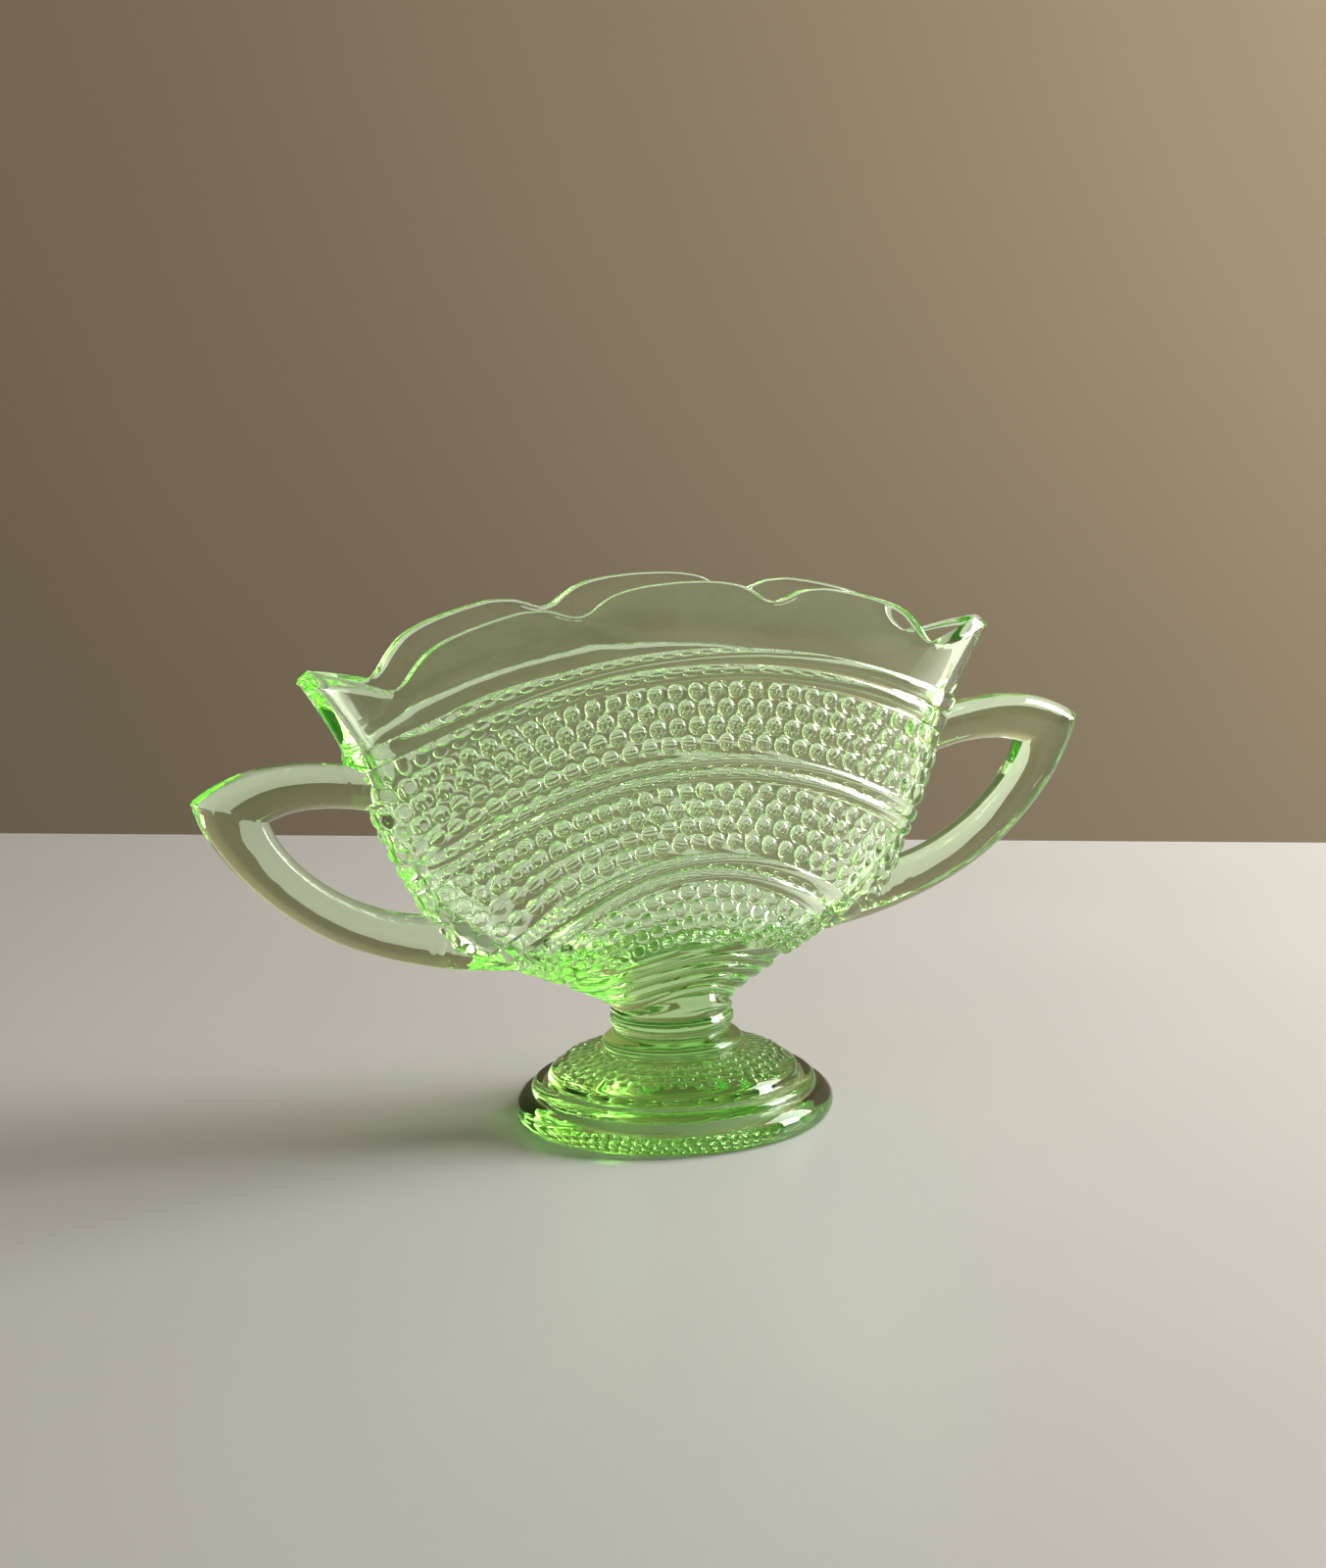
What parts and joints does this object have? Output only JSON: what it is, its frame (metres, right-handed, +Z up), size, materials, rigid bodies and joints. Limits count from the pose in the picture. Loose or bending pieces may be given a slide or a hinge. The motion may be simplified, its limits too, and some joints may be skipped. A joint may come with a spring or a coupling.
{
  "type": "footed posy vase",
  "caption": "Flat boat-shaped posy vase in pressed green glass, with a scalloped rim, pouring lips, beaded and ribbed sides, loop handles and a round stepped foot.",
  "frame": {"origin": "centre of the foot's standing ring, on the surface it stands on", "axes": "+X along the bowl from handle to handle, +Y across it, +Z up"},
  "size_m": [0.23, 0.0774, 0.1304],
  "materials": {
    "green_glass": "fire polished, clear green"
  },
  "bodies": {
    "root": {"bowl": "green_glass", "stem": "green_glass", "foot": "green_glass", "handle_left": "green_glass", "handle_right": "green_glass"}
  },
  "joints": []
}
